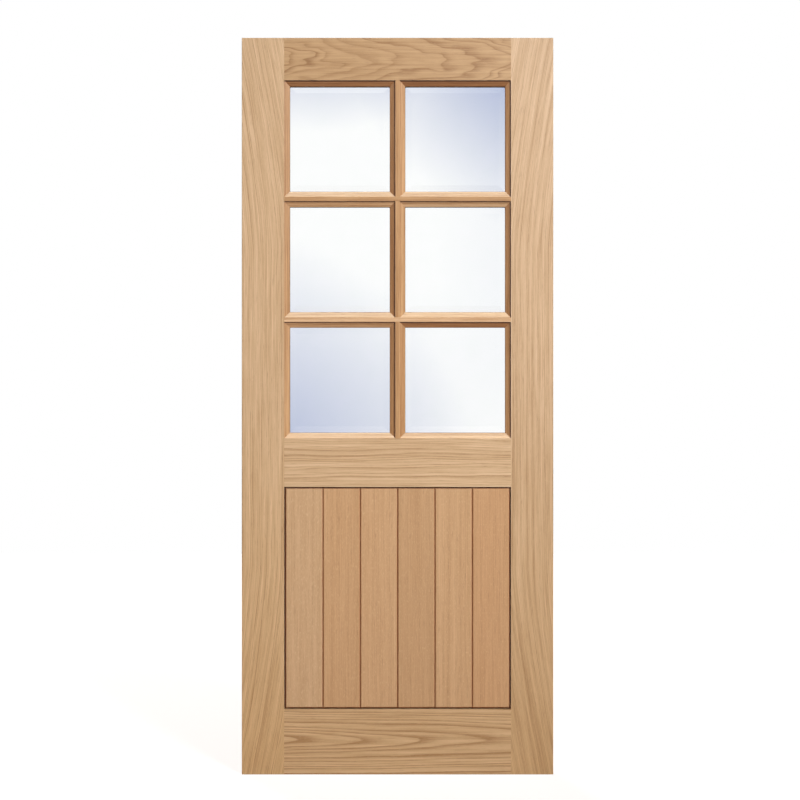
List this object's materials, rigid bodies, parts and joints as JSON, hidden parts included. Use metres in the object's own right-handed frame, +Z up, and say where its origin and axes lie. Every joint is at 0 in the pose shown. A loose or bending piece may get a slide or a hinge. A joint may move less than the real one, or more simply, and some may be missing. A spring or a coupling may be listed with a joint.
{
  "type": "glazed door leaf",
  "caption": "Oak external door leaf with bevelled sealed glass panes in a grid of glazing bars and mitred beads above a middle rail, and a V-jointed boarded panel below.",
  "frame": {"origin": "middle of the bottom edge of the leaf, half way through its thickness", "axes": "+X to the right as seen from outside, +Y from the outside face to the room side, +Z up"},
  "size_m": [0.838, 0.044, 1.981],
  "materials": {
    "oak_frame": "sanded and oiled",
    "oak_bars": "sanded and oiled",
    "oak_beads": "sanded and oiled",
    "oak_boards": "sanded and oiled",
    "glass": "clear, bevelled",
    "spacer_aluminium": "satin",
    "edge_sealant": "matte",
    "glazing_tape": "matte",
    "setting_block": "matte",
    "beech_dowels": "turned"
  },
  "bodies": {
    "root": {"left_stile": "oak_frame", "right_stile": "oak_frame", "top_rail": "oak_frame", "middle_rail": "oak_frame", "bottom_rail": "oak_frame", "vertical_glazing_bar": "oak_bars", "upper_glazing_bar": "oak_bars", "lower_glazing_bar": "oak_bars", "board_1": "oak_boards", "board_2": "oak_boards", "board_3": "oak_boards", "board_4": "oak_boards", "board_5": "oak_boards", "board_6": "oak_boards", "top_left_outer_pane": "glass", "top_right_outer_pane": "glass", "middle_left_outer_pane": "glass", "middle_right_outer_pane": "glass", "bottom_left_outer_pane": "glass", "bottom_right_outer_pane": "glass", "top_left_inner_pane": "glass", "top_right_inner_pane": "glass", "middle_left_inner_pane": "glass", "middle_right_inner_pane": "glass", "bottom_left_inner_pane": "glass", "bottom_right_inner_pane": "glass", "top_left_spacer_bar": "spacer_aluminium", "top_right_spacer_bar": "spacer_aluminium", "middle_left_spacer_bar": "spacer_aluminium", "middle_right_spacer_bar": "spacer_aluminium", "bottom_left_spacer_bar": "spacer_aluminium", "bottom_right_spacer_bar": "spacer_aluminium", "top_left_edge_seal": "edge_sealant", "top_right_edge_seal": "edge_sealant", "middle_left_edge_seal": "edge_sealant", "middle_right_edge_seal": "edge_sealant", "bottom_left_edge_seal": "edge_sealant", "bottom_right_edge_seal": "edge_sealant", "top_left_front_beads": "oak_beads", "top_right_front_beads": "oak_beads", "middle_left_front_beads": "oak_beads", "middle_right_front_beads": "oak_beads", "bottom_left_front_beads": "oak_beads", "bottom_right_front_beads": "oak_beads", "top_left_back_beads": "oak_beads", "top_right_back_beads": "oak_beads", "middle_left_back_beads": "oak_beads", "middle_right_back_beads": "oak_beads", "bottom_left_back_beads": "oak_beads", "bottom_right_back_beads": "oak_beads", "rail_dowels": "beech_dowels", "front_glazing_tapes": "glazing_tape", "back_glazing_tapes": "glazing_tape", "setting_blocks": "setting_block"}
  },
  "joints": []
}
